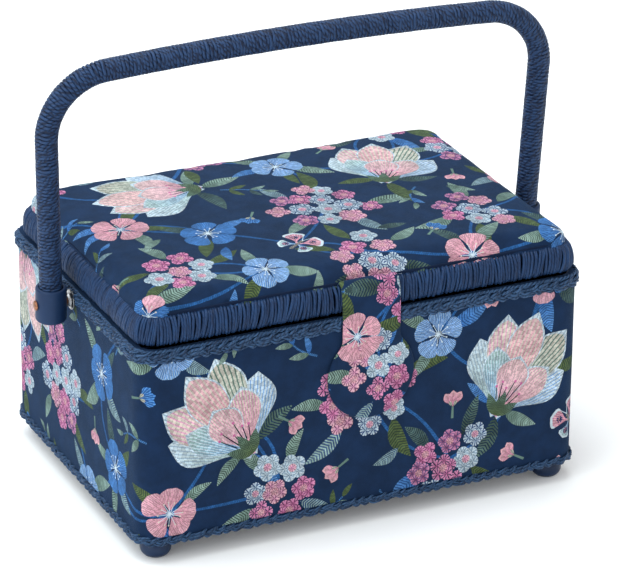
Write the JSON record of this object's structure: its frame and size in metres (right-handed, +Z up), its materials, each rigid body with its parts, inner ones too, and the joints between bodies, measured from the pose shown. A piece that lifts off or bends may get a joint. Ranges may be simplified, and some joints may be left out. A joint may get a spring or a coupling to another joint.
{
  "type": "sewing box",
  "caption": "Fabric-covered sewing box with a padded hinged lid, swing carrying handle, closure tab and inner tray.",
  "frame": {"origin": "centre of the object's box in X and Y, on the surface that the feet stand on", "axes": "+Z up; X along the box's length; -Y is the front, where the closure tab hangs"},
  "size_m": [0.3056, 0.193, 0.2574],
  "materials": {
    "print_cloth": "matte printed cotton",
    "plain_cloth": "matte plain cotton",
    "lining_satin": "soft satin lining",
    "cord": "twisted cord, slight sheen",
    "board": "raw fibreboard",
    "navy_plastic": "satin moulded",
    "tray_plastic": "moulded, satin",
    "steel": "nickel plated, satin",
    "copper": "antiqued rivet"
  },
  "bodies": {
    "box": {"front_wall_board": "board", "back_wall_board": "board", "left_wall_board": "board", "right_wall_board": "board", "base_board": "board", "base_cloth": "plain_cloth", "floor_pad": "lining_satin", "outer_cover": "print_cloth", "wall_lining": "lining_satin", "top_braid": "cord", "bottom_braid": "cord", "foot_front_left": "navy_plastic", "foot_front_right": "navy_plastic", "foot_back_left": "navy_plastic", "foot_back_right": "navy_plastic", "foot_screw_front_left": "steel", "foot_screw_front_right": "steel", "foot_screw_back_left": "steel", "foot_screw_back_right": "steel", "tray": "tray_plastic", "tray_ledge_left": "lining_satin", "tray_ledge_right": "lining_satin", "hinge_box_leaf_left": "steel", "hinge_box_leaf_right": "steel", "hinge_pin_left": "steel", "hinge_pin_right": "steel", "magnet_on_wall": "steel", "pivot_bush_left": "steel", "pivot_bush_right": "steel"},
    "lid": {"lid_frame": "board", "lid_board": "board", "lid_lining": "lining_satin", "lid_rim_winding": "cord", "lid_cushion": "print_cloth", "pincushion": "print_cloth", "elastic_pocket": "plain_cloth", "hinge_lid_leaf_left": "steel", "hinge_lid_leaf_right": "steel"},
    "tab": {"closure_tab": "print_cloth", "magnet_on_tab": "steel"},
    "pivot_pins": {"pivot_rivet_left": "copper", "pivot_rivet_right": "copper"},
    "handle": {"handle_wrap": "cord", "handle_core": "board", "ferrule_left": "navy_plastic", "ferrule_right": "navy_plastic"}
  },
  "joints": [
    {"name": "lid_hinge", "type": "hinge", "parent": "box", "child": "lid", "pos_m": [0, 0.09055, 0.12485], "axis": [-1, 0, 0], "range_deg": [0, 100]},
    {"name": "tab_lift", "type": "hinge", "parent": "lid", "child": "tab", "pos_m": [0.002, -0.0906, 0.1416], "axis": [-1, 0, 0], "range_deg": [0, 90]},
    {"name": "bail_follow", "type": "hinge", "parent": "box", "child": "pivot_pins", "pos_m": [0, 0.0017, 0.1175], "axis": [-1, 0, 0], "range_deg": [0, 86]},
    {"name": "handle_swing", "type": "hinge", "parent": "pivot_pins", "child": "handle", "pos_m": [0, 0.0017, 0.1175], "axis": [1, 0, 0], "range_deg": [-25, 95]}
  ],
  "couplings": [
    {"joint": "bail_follow", "follows": "lid_hinge", "ratio": 0.85}
  ]
}
